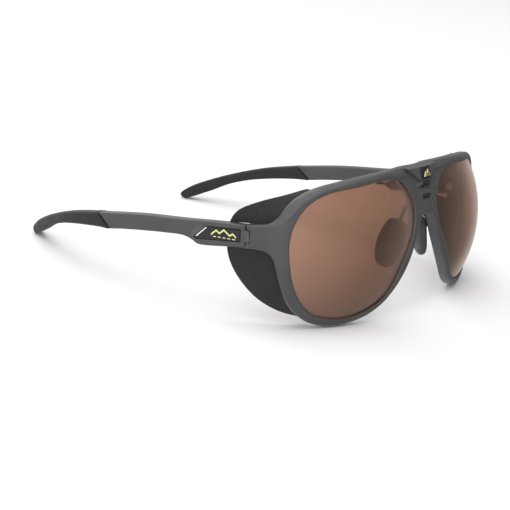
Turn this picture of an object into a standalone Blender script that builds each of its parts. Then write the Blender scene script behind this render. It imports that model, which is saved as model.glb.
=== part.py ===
"""Glacier glasses: wrapped front, two spherical lenses, side shields and folding temples.

Lengths are in millimetres until a mesh is made, and MM turns them into metres.
The front has axes of its own: x towards the wearer's left, y from the lenses back towards the
ears, v up along the lenses. The whole front leans back by TILT on the surface it rests on.
"""
import math

import bmesh
import bpy
from mathutils import Matrix, Vector
from mathutils.geometry import delaunay_2d_cdt

MM = 0.001
GAP = 0.3                      # clearance between neighbouring pieces
SIDES = {"right": -1, "left": 1}

# Rest position of the whole pair on a table
TILT = math.radians(6.3)       # the top of the front leans back
LENS_MIDDLE_HEIGHT = 29.33
FRONT_SETBACK = -75.51          # brings the middle of the box over the origin

# Plan curve of the front, seen from above, by arc length s from the bridge
LENS_RADIUS = 72.0
BRIDGE_HALF = 9.0
NASAL_HEADING = math.radians(-6)
OUTER_HEADING = math.radians(41)
CORNER_RADIUS = 12.0
BRIDGE_DEPTH = 0.5
BRIDGE_BULGE = 1.5
BRIDGE_BULGE_HALF = 8.5
LENS_ARC_END = BRIDGE_HALF + LENS_RADIUS * (OUTER_HEADING - NASAL_HEADING)
CORNER_END = LENS_ARC_END + CORNER_RADIUS * (math.pi / 2 - OUTER_HEADING)

# Front moulding and lenses
FRONT_THICKNESS = 4.4
END_PIECE_LENGTH = 6.3         # straight run behind the corner, up to the joint line
GROOVE_DEPTH = 0.9
LENS_FRONT = 1.0               # depth of the lens edge behind the front face
LENS_THICKNESS = 2.0
LENS_DOME = 2.3                # rise of the middle of the lens over its edge
LENS_MIDDLE = Vector((38.5, -1.5))
OUTLINE_STEP = 2.6
PANEL_GRID = 4.2
LENS_OPENING = [
    (67.5, 1.0), (65.8, 10.0), (60.0, 16.9), (51.0, 20.4), (38.0, 21.5), (25.0, 22.4), (13.5, 19.9),
    (7.9, 12.0), (9.0, 2.5), (16.0, -9.0), (23.2, -19.4), (34.0, -24.2), (46.0, -25.1),
    (58.0, -21.8), (65.0, -12.5),
]
BROW_EDGE = [
    (12.0, 25.0), (24.0, 24.9), (36.0, 24.3), (46.0, 23.5), (56.0, 22.0), (63.5, 19.3),
    (68.5, 15.9), (72.5, 12.6), (76.5, 10.7), (80.5, 10.0),
]
LOWER_EDGE = [
    (79.0, 1.4), (75.6, 0.9), (73.4, -1.4), (72.2, -5.5), (71.0, -10.0), (68.6, -15.7),
    (64.3, -21.4), (57.6, -25.8), (49.0, -27.8), (40.0, -27.6), (31.0, -25.8), (23.2, -22.0),
    (17.0, -16.4), (11.8, -9.8), (8.1, -3.4), (5.6, 2.6), (3.6, 6.4),
]
END_PIECE_TOP = 9.7
END_PIECE_BOTTOM = 1.5
ARCH_TOP = 8.0
VENT_SLOTS = [(9.8, 1.9, 17.9), (5.8, 1.9, 13.7)]      # width, height, middle height
PLATE_OUTLINE = [(9.6, 24.8), (3.9, 19.9), (-3.9, 19.9), (-9.6, 24.8)]
PLATE_RISE = 1.2
BADGE_WIDTH = 6.4
BADGE_HEIGHT = 3.6
BADGE_MIDDLE = 22.4
BADGE_THICKNESS = 0.9
PEAK_WIDTH, PEAK_HEIGHT = 4.6, 2.5

# Hinge: ears on the front, a tongue on the temple, a screw through both
HINGE_X = 64.6
HINGE_Y = 31.2
KNUCKLE_RADIUS = 2.3
TONGUE_LOW, TONGUE_HIGH = 3.65, 7.65
JOINT_Y = 32.65
TONGUE_FRONT = 31.1
SCREW_RADIUS = 0.65
SCREW_HEAD_RADIUS = 1.2
SCREW_HEAD_HEIGHT = 0.7
NUT_RADIUS = 1.25
NUT_HEIGHT = 0.8

# Temples, by y along the temple and v up
OUTER_FACE = 67.9
TEMPLE_THICKNESS = 4.4
TEMPLE_MIDDLE = [(32.0, 65.7), (50.0, 65.7), (60.0, 65.7), (80.0, 65.1), (98.0, 64.2), (112.0, 62.2),
                 (125.0, 58.9), (140.0, 52.9), (154.0, 46.2)]
TEMPLE_TOP = [(60.0, 8.2), (80.0, 7.2), (92.0, 6.1), (102.4, 4.9)]
TEMPLE_LOW = [(96.3, -0.35), (90.0, 0.3), (80.0, 1.2), (70.0, 1.9), (61.0, 2.2)]
TEMPLE_STEP = [(57.0, 1.3), (53.6, -0.1), (40.0, 0.9)]
TIP_TOP = [(112.3, 3.75), (122.3, 1.95), (135.4, -1.5), (147.7, -6.1)]
TIP_LOW = [(142.6, -9.1), (135.0, -5.7), (125.8, -3.2), (117.2, -1.9), (107.4, -1.0)]
TIP_END = [(153.0, -9.3), (153.9, -10.7), (153.0, -12.3), (151.6, -12.7)]
TIP_EXTRA = 0.7                # the soft tip stands proud of the temple on each face
CORE_RADIUS = 0.7
CORE_ROUTE = [(73.0, 4.6), (84.0, 4.0), (98.0, 2.5), (112.0, 1.2), (125.0, -1.0), (136.0, -3.8),
              (146.0, -7.4)]
INLAY_OUTLINE = [(34.9, 7.7), (49.8, 6.9), (55.2, 2.6), (54.4, 2.2), (34.9, 3.6)]
INLAY_THICKNESS = 0.5

# Side shields: a rib runs from each point on the rim's back (s, v) to the rear edge (x, y, v)
SHIELD_RIBS = [
    ((54.0, 21.1), (49.5, 20.0, 21.4)), ((61.0, 18.2), (57.6, 24.6, 19.6)),
    ((65.7, 14.2), (62.8, 32.0, 16.9)), ((68.4, 9.6), (65.0, 38.6, 13.4)),
    ((69.6, 4.5), (65.3, 42.0, 8.0)), ((69.7, -1.5), (65.2, 42.8, 0.0)),
    ((69.0, -7.0), (65.0, 41.0, -6.0)), ((67.0, -12.7), (64.0, 36.8, -12.3)),
    ((63.6, -18.2), (61.6, 31.6, -17.9)), ((58.6, -22.5), (57.0, 26.0, -22.2)),
    ((53.5, -25.2), (49.0, 20.6, -25.3)),
]
SHIELD_THICKNESS = 1.2
SHIELD_BULGE = 0.01
NOTCH_OUTLINE = [(26.9, 0.4), (60.0, 0.4), (60.0, 8.9), (44.0, 9.48), (34.0, 9.93), (26.9, 9.95)]
NOTCH_DEPTH = 16.0             # how far the cut reaches to each side of the temple
STUD_Y, STUD_V = 24.3, 5.6
STUD_RADIUS = 0.9
STUD_HEAD_RADIUS = 1.7
STUD_HEAD_X, STUD_END_X = 58.6, 64.4

# Nose pads on bendable wire arms
PAD_MIDDLE = Vector((10.4, 9.7, -3.3))
PAD_UP = Vector((-6.5, -3.0, 17.0)).normalized()
PAD_FACE = Vector((-0.85, 0.5, 0.0))
PAD_LENGTH, PAD_WIDTH, PAD_THICKNESS = 18.0, 10.0, 2.6
ARM_RADIUS = 0.6
ARM_ROUTE = [(5.0, 3.6, 10.4), (5.1, 6.4, 10.2), (7.9, 7.0, 6.6), (10.4, 6.9, 3.2), (12.0, 7.7, 0.4),
             (11.8, 8.6, -1.6), (10.7, 9.1, -2.4)]


def material(name, colour, roughness, metallic=0.0, transmission=0.0):
    """A Principled material in the piece's own colour."""
    made = bpy.data.materials.new(name)
    made.use_nodes = True
    shader = made.node_tree.nodes["Principled BSDF"]
    shader.inputs["Base Color"].default_value = (*colour, 1.0)
    shader.inputs["Roughness"].default_value = roughness
    shader.inputs["Metallic"].default_value = metallic
    shader.inputs["Transmission Weight"].default_value = transmission
    return made


def clear_scene():
    for thing in list(bpy.data.objects):
        bpy.data.objects.remove(thing, do_unlink=True)


# ---------------------------------------------------------------- outlines

def smooth(points, step, closed=False):
    """Points about `step` apart on a smooth curve through `points` (flat or in space)."""
    knots = [Vector(p) for p in points]
    count = len(knots)
    if not closed:
        knots = [knots[0] * 2 - knots[1]] + knots + [knots[-1] * 2 - knots[-2]]
    spans = range(count) if closed else range(1, count)
    curve = []
    for i in spans:
        before, here, there, after = (knots[(i + k) % len(knots)] for k in (-1, 0, 1, 2))
        length = (there - here).length
        away = (there - before) * (length / ((here - before).length + length))
        home = (after - here) * (length / (length + (after - there).length))
        pieces = max(1, round(length / step))
        for n in range(pieces):
            t = n / pieces
            curve.append(here * (2 * t ** 3 - 3 * t ** 2 + 1) + away * (t ** 3 - 2 * t ** 2 + t)
                         + there * (3 * t ** 2 - 2 * t ** 3) + home * (t ** 3 - t ** 2))
    if not closed:
        curve.append(knots[-2].copy())
    return curve


def rounded_box(width, height, middle, radius, steps=2):
    """A rectangle with round corners, counter-clockwise."""
    loop = []
    for turn, (a, b) in enumerate(((1, 1), (-1, 1), (-1, -1), (1, -1))):
        for n in range(steps + 1):
            angle = math.radians(90 * (turn + n / steps))
            loop.append(Vector((a * (width / 2 - radius) + radius * math.cos(angle),
                                middle + b * (height / 2 - radius) + radius * math.sin(angle))))
    return loop


def signed_area(loop):
    return sum(a.x * b.y - b.x * a.y for a, b in zip(loop, loop[1:] + loop[:1])) / 2


def inset(loop, amount):
    """The loop moved to its left by `amount`: inwards when it runs counter-clockwise."""
    moved = []
    for before, here, after in zip(loop[-1:] + loop[:-1], loop, loop[1:] + loop[:1]):
        one = (here - before).normalized()
        two = (after - here).normalized()
        left = Vector((-one.y - two.y, one.x + two.x))
        left.normalize()
        lean = max(0.5, left.dot(Vector((-one.y, one.x))))
        moved.append(here + left * (amount / lean))
    return moved


def inside(point, loop):
    crossings = 0
    for a, b in zip(loop, loop[1:] + loop[:1]):
        if (a.y > point.y) != (b.y > point.y):
            crossings += point.x < a.x + (point.y - a.y) * (b.x - a.x) / (b.y - a.y)
    return crossings % 2 == 1


# ---------------------------------------------------------------- solids

def new_object(name, mesh):
    thing = bpy.data.objects.new(name, mesh)
    bpy.context.collection.objects.link(thing)
    return thing


def finish_mesh(name, bm, angle=35):
    """Close off a bmesh in millimetres as an object in metres, smooth with crisp edges."""
    bmesh.ops.recalc_face_normals(bm, faces=bm.faces)
    if bm.calc_volume(signed=True) < 0:
        bmesh.ops.reverse_faces(bm, faces=bm.faces)
    bmesh.ops.scale(bm, vec=(MM, MM, MM), verts=bm.verts)
    mesh = bpy.data.meshes.new(name)
    bm.to_mesh(mesh)
    bm.free()
    mesh.shade_smooth()
    mesh.set_sharp_from_angle(angle=math.radians(angle))
    return new_object(name, mesh)


def cap(bm, rings, flat_loops, depth, bend, grid):
    """Fill one face of a plate between its outer ring and its holes with even triangles."""
    flat = [p for loop in flat_loops for p in loop]
    verts = [v for ring in rings for v in ring]
    edges = []
    start = 0
    for loop in flat_loops:
        size = len(loop)
        edges += [(start + n, start + (n + 1) % size) for n in range(size)]
        start += size
    xs = [p.x for p in flat_loops[0]]
    ys = [p.y for p in flat_loops[0]]
    for i in range(math.floor(min(xs) / grid), math.ceil(max(xs) / grid) + 1):
        for j in range(math.floor(min(ys) / grid), math.ceil(max(ys) / grid) + 1):
            point = Vector((i * grid, j * grid))
            clear = min((point - p).length for p in flat[:start]) > 0.55 * grid
            if clear and inside(point, flat_loops[0]) and not any(inside(point, h) for h in flat_loops[1:]):
                flat.append(point)
                verts.append(bm.verts.new(bend(point.x, point.y, depth)))
    spots, _, faces, sources, _, _ = delaunay_2d_cdt(flat, edges, [], 1, 1e-5)
    for face in faces:
        centre = sum((spots[n] for n in face), Vector((0, 0))) / 3
        if not any(inside(centre, hole) for hole in flat_loops[1:]):
            bm.faces.new([verts[sources[n][0]] for n in face])


def plate(name, outer, holes, bend, outer_edge, hole_edges=(), grid=PANEL_GRID):
    """A plate with holes. Each edge profile lists (inset, depth) from the front to the back,
    and bend(a, b, depth) places a point of the flat plate in space."""
    bm = bmesh.new()
    loops = [outer if signed_area(outer) > 0 else outer[::-1]]
    loops += [h if signed_area(h) < 0 else h[::-1] for h in holes]
    ends = []
    for loop, profile in zip(loops, [outer_edge, *hole_edges]):
        rings = []
        for amount, depth in profile:
            flat = inset(loop, amount)
            rings.append((flat, [bm.verts.new(bend(p.x, p.y, depth)) for p in flat], depth))
        for (_, one, _), (_, two, _) in zip(rings, rings[1:]):
            for n in range(len(loop)):
                m = (n + 1) % len(loop)
                bm.faces.new((one[n], one[m], two[m], two[n]))
        ends.append((rings[0], rings[-1]))
    for side in (0, 1):
        chosen = [pair[side] for pair in ends]
        cap(bm, [c[1] for c in chosen], [c[0] for c in chosen], chosen[0][2], bend, grid)
    return finish_mesh(name, bm)


def rounded_edge(thickness, radius, start=0.0):
    """Edge profile with a quarter round at the front and at the back."""
    corner = [(radius * (1 - math.sin(a)), radius * (1 - math.cos(a)))
              for a in (0, math.pi / 4, math.pi / 2)]
    front = [(i, start + d) for i, d in corner]
    back = [(i, start + thickness - d) for i, d in reversed(corner)]
    return front + back


def tube(name, route, radius, sides=10, extend=0.0):
    """A round bar along a route in space, closed by flat ends and longer by `extend` at each."""
    bm = bmesh.new()
    first = route[0] + (route[0] - route[1]).normalized() * extend
    last = route[-1] + (route[-1] - route[-2]).normalized() * extend
    route = [first] + route[1:-1] + [last]
    rings = []
    across = Vector((1, 0, 0))
    for n, point in enumerate(route):
        ahead = (route[min(n + 1, len(route) - 1)] - route[max(n - 1, 0)]).normalized()
        across = (across - ahead * across.dot(ahead)).normalized()
        other = ahead.cross(across)
        turns = [2 * math.pi * k / sides for k in range(sides)]
        rings.append([bm.verts.new(point + across * radius * math.cos(a) + other * radius * math.sin(a))
                      for a in turns])
    for one, two in zip(rings, rings[1:]):
        for n in range(sides):
            m = (n + 1) % sides
            bm.faces.new((one[n], one[m], two[m], two[n]))
    bm.faces.new(rings[0])
    bm.faces.new(rings[-1])
    return finish_mesh(name, bm)


def turned(name, profile, base, axis, sides=20):
    """A solid of revolution: profile (radius, height) pairs from the low end to the high end."""
    bm = bmesh.new()
    turn = Vector((0, 0, 1)).rotation_difference(Vector(axis)).to_matrix()
    rings = []
    for radius, height in profile:
        ring = []
        for k in range(sides):
            a = 2 * math.pi * k / sides
            spot = Vector((radius * math.cos(a), radius * math.sin(a), height))
            ring.append(bm.verts.new(Vector(base) + turn @ spot))
        rings.append(ring)
    for one, two in zip(rings, rings[1:]):
        for n in range(sides):
            m = (n + 1) % sides
            bm.faces.new((one[n], one[m], two[m], two[n]))
    bm.faces.new(rings[0])
    bm.faces.new(rings[-1])
    return finish_mesh(name, bm)


def box(name, low, high):
    bm = bmesh.new()
    bmesh.ops.create_cube(bm, size=1.0)
    size = Vector(high) - Vector(low)
    bmesh.ops.scale(bm, vec=size, verts=bm.verts)
    bmesh.ops.translate(bm, vec=(Vector(high) + Vector(low)) / 2, verts=bm.verts)
    return finish_mesh(name, bm)


def combine(target, tool, operation):
    """Join or cut with another solid, keep the result and drop the tool."""
    step = target.modifiers.new(operation.lower(), "BOOLEAN")
    step.operation = operation
    step.solver = "EXACT"
    step.object = tool
    bpy.context.view_layer.update()
    result = bpy.data.meshes.new_from_object(target.evaluated_get(bpy.context.evaluated_depsgraph_get()))
    target.modifiers.clear()
    target.data = result
    bpy.data.objects.remove(tool, do_unlink=True)
    target.data.shade_smooth()
    target.data.set_sharp_from_angle(angle=math.radians(35))


# ---------------------------------------------------------------- shape of the front

def plan_point(s):
    """Place and heading of the plan curve at arc length s >= 0."""
    if s <= BRIDGE_HALF:
        heading = NASAL_HEADING * s / BRIDGE_HALF
        return s, BRIDGE_DEPTH + NASAL_HEADING * s * s / (2 * BRIDGE_HALF), heading
    x = BRIDGE_HALF
    y = BRIDGE_DEPTH + NASAL_HEADING * BRIDGE_HALF / 2
    run = min(s, LENS_ARC_END) - BRIDGE_HALF
    heading = NASAL_HEADING + run / LENS_RADIUS
    x += LENS_RADIUS * (math.sin(heading) - math.sin(NASAL_HEADING))
    y += LENS_RADIUS * (math.cos(NASAL_HEADING) - math.cos(heading))
    if s > LENS_ARC_END:
        run = min(s, CORNER_END) - LENS_ARC_END
        turned_to = heading + run / CORNER_RADIUS
        x += CORNER_RADIUS * (math.sin(turned_to) - math.sin(heading))
        y += CORNER_RADIUS * (math.cos(heading) - math.cos(turned_to))
        heading = turned_to
    if s > CORNER_END:
        y += s - CORNER_END
    return x, y, heading


def on_front(s, v, depth):
    """A point `depth` behind the front face, s along the plan curve and v up."""
    x, y, heading = plan_point(abs(s))
    sag = LENS_RADIUS - math.sqrt(LENS_RADIUS ** 2 - v * v)
    if abs(s) < BRIDGE_BULGE_HALF:
        depth -= BRIDGE_BULGE * math.cos(math.pi * s / (2 * BRIDGE_BULGE_HALF)) ** 2
    back = depth + sag
    return Vector((math.copysign(x - math.sin(heading) * back, s), y + math.cos(heading) * back, v))


OPENING_CURVE = smooth(LENS_OPENING, OUTLINE_STEP, closed=True)


def mirrored(loop):
    return [Vector((-p.x, p.y)) for p in loop]


def lens_opening(side):
    return OPENING_CURVE if side > 0 else mirrored(OPENING_CURVE)


def front_outline():
    """The whole outer edge, counter-clockwise from the left end piece over the brow."""
    end = CORNER_END + END_PIECE_LENGTH
    top = [(end, END_PIECE_TOP)] + BROW_EDGE[::-1]
    brow = smooth(top + [(-x, v) for x, v in top[::-1]], OUTLINE_STEP)
    low = LOWER_EDGE[::-1]
    under = smooth([(-x, v) for x, v in [(end, END_PIECE_BOTTOM)] + LOWER_EDGE] + [(0, ARCH_TOP)]
                   + low + [(end, END_PIECE_BOTTOM)], OUTLINE_STEP)
    return brow + under


# ---------------------------------------------------------------- pieces of the front

def make_front_frame():
    lip = 0.55
    back = FRONT_THICKNESS
    groove_front = LENS_FRONT - GAP
    groove_back = LENS_FRONT + LENS_THICKNESS + GAP
    lens_edge = [(lip, 0.0), (0.0, lip), (0.0, groove_front), (GROOVE_DEPTH, groove_front),
                 (GROOVE_DEPTH, groove_back), (0.2, groove_back), (0.6, back)]
    slot_edge = [(0.0, 0.0), (0.0, back)]
    slots = [rounded_box(w, h, m, 0.5) for w, h, m in VENT_SLOTS]
    openings = [lens_opening(1), lens_opening(-1)]
    frame = plate("front_frame", front_outline(), openings + slots, on_front,
                  rounded_edge(back, 0.8), [lens_edge] * 2 + [slot_edge] * 2)
    raised = plate("raised_plate", smooth_corners(PLATE_OUTLINE), [], on_front,
                   [(0.2, -PLATE_RISE), (0.0, 0.2 - PLATE_RISE), (0.0, 1.0)], grid=2.5)
    combine(frame, raised, "UNION")
    pocket = rounded_box(BADGE_WIDTH + 2 * GAP, BADGE_HEIGHT + 2 * GAP, BADGE_MIDDLE, 0.9)
    combine(frame, plate("pocket", pocket, [], on_front, [(0, -PLATE_RISE - 1), (0, 0.0)], grid=2.5),
            "DIFFERENCE")
    for side in SIDES.values():
        add_hinge_ears(frame, side)
        combine(frame, arm_tube("arm_socket", side, GAP), "DIFFERENCE")
        combine(frame, stud_shape("stud_socket", side, GAP), "DIFFERENCE")
    return frame


def smooth_corners(points):
    """The outline with a point added near each corner, so that it looks eased."""
    loop = []
    corners = [Vector(p) for p in points]
    for before, here, after in zip(corners[-1:] + corners[:-1], corners, corners[1:] + corners[:1]):
        loop += [here + (before - here).normalized() * 1.2, here + (after - here).normalized() * 1.2]
    return loop


def hinge_disc(name, side, radius, low, high):
    return turned(name, [(radius, low), (radius, high)], (side * HINGE_X, HINGE_Y, 0), (0, 0, 1))


def add_hinge_ears(frame, side):
    slot_low, slot_high = TONGUE_LOW - GAP, TONGUE_HIGH + GAP
    for low, high in ((END_PIECE_BOTTOM + 0.1, slot_low), (slot_high, END_PIECE_TOP - 0.1)):
        combine(frame, hinge_disc("ear", side, KNUCKLE_RADIUS, low, high), "UNION")
    inner, outer = sorted((side * 55, side * 75))
    combine(frame, box("slot", (inner, TONGUE_FRONT - GAP, slot_low), (outer, 40, slot_high)),
            "DIFFERENCE")
    combine(frame, hinge_disc("sweep", side, KNUCKLE_RADIUS + GAP, slot_low, slot_high), "DIFFERENCE")
    head_seat = END_PIECE_TOP - 0.1 - SCREW_HEAD_HEIGHT - GAP
    combine(frame, hinge_disc("hole", side, SCREW_RADIUS + GAP, 0, 12), "DIFFERENCE")
    combine(frame, hinge_disc("head_seat", side, SCREW_HEAD_RADIUS + GAP, head_seat, 12), "DIFFERENCE")
    nut_seat = END_PIECE_BOTTOM + 0.1 + NUT_HEIGHT + GAP
    combine(frame, hinge_disc("nut_seat", side, NUT_RADIUS + GAP, 0, nut_seat), "DIFFERENCE")


def lens_reach(s, v):
    """Share of the way from the middle of the lens to the edge of its opening."""
    way = Vector((abs(s), v)) - LENS_MIDDLE
    loop = OPENING_CURVE
    for a, b in zip(loop, loop[1:] + loop[:1]):
        one, two = a - LENS_MIDDLE, b - LENS_MIDDLE
        if one.cross(way) >= 0 > two.cross(way):
            return way.cross(two - one) / one.cross(two - one)
    return 0.0


def on_lens(s, v, depth):
    """A point of the lens, domed over the front's curve and flush with it at the edge."""
    return on_front(s, v, depth - LENS_DOME * max(0.0, 1 - lens_reach(s, v) ** 2))


def make_lens(name, side):
    outline = inset(lens_opening(side), (GAP - GROOVE_DEPTH) * side)
    return plate(name, outline, [], on_lens,
                 [(0.25, LENS_FRONT), (0.0, LENS_FRONT + 0.25),
                  (0.0, LENS_FRONT + LENS_THICKNESS - 0.25), (0.25, LENS_FRONT + LENS_THICKNESS)],
                 grid=5.5)


def make_badge():
    outline = rounded_box(BADGE_WIDTH, BADGE_HEIGHT, BADGE_MIDDLE, 0.8)
    face = -PLATE_RISE - 0.2
    return plate("bridge_badge", outline, [], on_front,
                 [(0.2, face), (0.0, face + 0.2), (0.0, face + BADGE_THICKNESS)], grid=2.0)


def make_badge_peak():
    """A plain mountain peak standing on the badge."""
    low, half = BADGE_MIDDLE - PEAK_HEIGHT / 2, PEAK_WIDTH / 2
    outline = [Vector(p) for p in ((-half, low), (half, low), (0.22 * half, low + PEAK_HEIGHT),
                                   (-0.12 * half, low + 0.48 * PEAK_HEIGHT),
                                   (-0.45 * half, low + 0.74 * PEAK_HEIGHT))]
    foot = -PLATE_RISE - 0.2 - GAP
    return plate("badge_peak", outline, [], on_front, [(0.0, foot - 0.3), (0.0, foot)], grid=5.0)


# ---------------------------------------------------------------- hinges

def make_hinge_screw(name, side):
    top = END_PIECE_TOP - 0.1
    head = top - SCREW_HEAD_HEIGHT
    return turned(name, [(SCREW_RADIUS, END_PIECE_BOTTOM + 0.2), (SCREW_RADIUS, head),
                         (SCREW_HEAD_RADIUS, head), (SCREW_HEAD_RADIUS, top - 0.1),
                         (SCREW_HEAD_RADIUS - 0.2, top)],
                  (side * HINGE_X, HINGE_Y, 0), (0, 0, 1), sides=16)


def make_hinge_nut(name, side):
    low = END_PIECE_BOTTOM + 0.1
    nut = turned(name, [(NUT_RADIUS - 0.15, low), (NUT_RADIUS, low + 0.15), (NUT_RADIUS, low + NUT_HEIGHT)],
                 (side * HINGE_X, HINGE_Y, 0), (0, 0, 1), sides=6)
    combine(nut, hinge_disc("thread", side, SCREW_RADIUS + GAP, 0, 12), "DIFFERENCE")
    return nut


# ---------------------------------------------------------------- temples

def temple_middle(y):
    """The x of the temple's middle at y, read from the smooth plan line."""
    line = TEMPLE_PLAN
    for a, b in zip(line, line[1:]):
        if y <= b.x:
            return a.y + (y - a.x) * (b.y - a.y) / (b.x - a.x)
    return line[-1].y


TEMPLE_PLAN = smooth(TEMPLE_MIDDLE, 4.0)


def on_temple(side):
    """bend() for a plate whose flat plane is (y, v) and whose front is the outer face."""
    def bend(y, v, depth):
        return Vector((side * (temple_middle(y) - depth), y, v))
    return bend


def make_temple(name, side):
    half = TEMPLE_THICKNESS / 2
    start = JOINT_Y + GAP
    top = smooth([(start, END_PIECE_TOP - 0.2), (45.0, 9.1)] + TEMPLE_TOP, 4.0)
    low = smooth(TEMPLE_LOW, 4.0) + [Vector(p) for p in TEMPLE_STEP] + [Vector((start, 1.7))]
    temple = plate(name, top + low, [], on_temple(side), rounded_edge(2 * half, 0.7, -half), grid=6.0)
    inner, outer = sorted((side * (HINGE_X - 0.5), side * (OUTER_FACE - 0.1)))
    combine(temple, box("tongue", (inner, TONGUE_FRONT, TONGUE_LOW), (outer, 35.5, TONGUE_HIGH)), "UNION")
    combine(temple, hinge_disc("knuckle", side, KNUCKLE_RADIUS, TONGUE_LOW, TONGUE_HIGH), "UNION")
    for low_v, high_v in ((-3, TONGUE_LOW), (TONGUE_HIGH, 12)):
        combine(temple, hinge_disc("ear_room", side, KNUCKLE_RADIUS + GAP, low_v, high_v), "DIFFERENCE")
    combine(temple, hinge_disc("hole", side, SCREW_RADIUS + GAP, 0, 12), "DIFFERENCE")
    pocket = inset([Vector(p) for p in INLAY_OUTLINE], GAP)
    depth = INLAY_THICKNESS + GAP - half
    combine(temple, plate("pocket", pocket, [], on_temple(side), [(0, -half - 1), (0, depth)], grid=9.0),
            "DIFFERENCE")
    combine(temple, core_tube("bore", side, GAP), "DIFFERENCE")
    return temple


def make_inlay(name, side):
    face = -TEMPLE_THICKNESS / 2
    outline = [Vector(p) for p in INLAY_OUTLINE]
    return plate(name, outline, [], on_temple(side),
                 [(0.15, face), (0.0, face + 0.15), (0.0, face + INLAY_THICKNESS)], grid=6.0)


def core_route(side):
    """The wire runs down the middle of the temple and of its soft tip."""
    return [Vector((side * temple_middle(p.x), p.x, p.y)) for p in smooth(CORE_ROUTE, 4.0)]


def core_tube(name, side, extra=0.0):
    return tube(name, core_route(side), CORE_RADIUS + extra, sides=8, extend=extra)


def make_tip(name, side):
    half = TEMPLE_THICKNESS / 2 + TIP_EXTRA - 0.3
    front_top = (TEMPLE_TOP[-1][0] + 0.55, TEMPLE_TOP[-1][1])
    front_low = (TEMPLE_LOW[0][0] + 0.55, TEMPLE_LOW[0][1] - 0.1)
    back = smooth([front_top] + TIP_TOP + TIP_END, 3.0)
    under = smooth(TIP_LOW + [front_low], 3.5)
    tip = plate(name, back + under, [], on_temple(side), rounded_edge(2 * half, 1.0, -half), grid=6.0)
    combine(tip, core_tube("bore", side, GAP), "DIFFERENCE")
    return tip


# ---------------------------------------------------------------- side shields

def make_side_shield(name, side):
    """A soft cup lofted from the back of the rim to its free rear edge, slotted for the temple."""
    fronts = [on_front(side * s, v, FRONT_THICKNESS + GAP + 0.1) for (s, v), _ in SHIELD_RIBS]
    rears = [Vector((side * x, y, v)) for _, (x, y, v) in SHIELD_RIBS]
    fronts = smooth(fronts, 3.4)
    share = [n / (len(fronts) - 1) for n in range(len(fronts))]
    rears = even_points(smooth(rears, 1.5), share)
    fronts = even_points(fronts, share)
    rows = 7
    outside = []
    for one, two in zip(fronts, rears):
        rib = two - one
        bulge = Vector((side * SHIELD_BULGE * rib.length, 0, 0))
        outside.append([one + rib * (k / rows) + bulge * math.sin(math.pi * k / rows)
                        for k in range(rows + 1)])
    bm = bmesh.new()
    grids = []
    for depth in (0.0, SHIELD_THICKNESS):
        grid = []
        for i, rib in enumerate(outside):
            line = []
            for j, point in enumerate(rib):
                along = outside[min(i + 1, len(outside) - 1)][j] - outside[max(i - 1, 0)][j]
                across = rib[min(j + 1, rows)] - rib[max(j - 1, 0)]
                inward = along.cross(across).normalized() * -side
                line.append(bm.verts.new(point + inward * depth))
            grid.append(line)
        grids.append(grid)
    skin(bm, grids[0], grids[1])
    shield = finish_mesh(name, bm)
    notch = [Vector(p) for p in NOTCH_OUTLINE]
    combine(shield, plate("notch", notch, [], on_temple(side), [(0, -NOTCH_DEPTH), (0, NOTCH_DEPTH)], grid=20.0),
            "DIFFERENCE")
    combine(shield, stud_shape("stud_hole", side, GAP, whole=False), "DIFFERENCE")
    return shield


def even_points(line, shares):
    """Points of a polyline at the given shares of its length."""
    lengths = [0.0]
    for a, b in zip(line, line[1:]):
        lengths.append(lengths[-1] + (b - a).length)
    spots = []
    for share in shares:
        goal = share * lengths[-1]
        n = next((k for k in range(1, len(line)) if lengths[k] >= goal - 1e-9), len(line) - 1)
        t = (goal - lengths[n - 1]) / (lengths[n] - lengths[n - 1])
        spots.append(line[n - 1].lerp(line[n], min(1.0, t)))
    return spots


def skin(bm, outer, inner):
    """Close two matching grids of points into one shell."""
    last_i, last_j = len(outer) - 1, len(outer[0]) - 1
    for grid in (outer, inner):
        for i in range(last_i):
            for j in range(last_j):
                bm.faces.new((grid[i][j], grid[i + 1][j], grid[i + 1][j + 1], grid[i][j + 1]))
    for i in range(last_i):
        for j in (0, last_j):
            bm.faces.new((outer[i][j], outer[i + 1][j], inner[i + 1][j], inner[i][j]))
    for j in range(last_j):
        for i in (0, last_i):
            bm.faces.new((outer[i][j], outer[i][j + 1], inner[i][j + 1], inner[i][j]))


def stud_shape(name, side, extra, whole=True):
    """The snap stud: head inside the shield, shank through it into the end piece."""
    head_end = STUD_HEAD_X + 0.9
    head = [(STUD_HEAD_RADIUS - 0.3, STUD_HEAD_X), (STUD_HEAD_RADIUS, STUD_HEAD_X + 0.3),
            (STUD_HEAD_RADIUS, head_end)]
    start = [] if extra else head
    shank_start = STUD_HEAD_X if extra else head_end
    profile = start + [(STUD_RADIUS + extra, shank_start), (STUD_RADIUS + extra, STUD_END_X + extra)]
    return turned(name, profile, (0, STUD_Y, STUD_V), (side, 0, 0), sides=12)


# ---------------------------------------------------------------- nose pads

def arm_tube(name, side, extra=0.0):
    route = smooth([(side * x, y, v) for x, y, v in ARM_ROUTE], 1.6)
    return tube(name, route, ARM_RADIUS + extra, sides=8, extend=extra)


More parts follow.
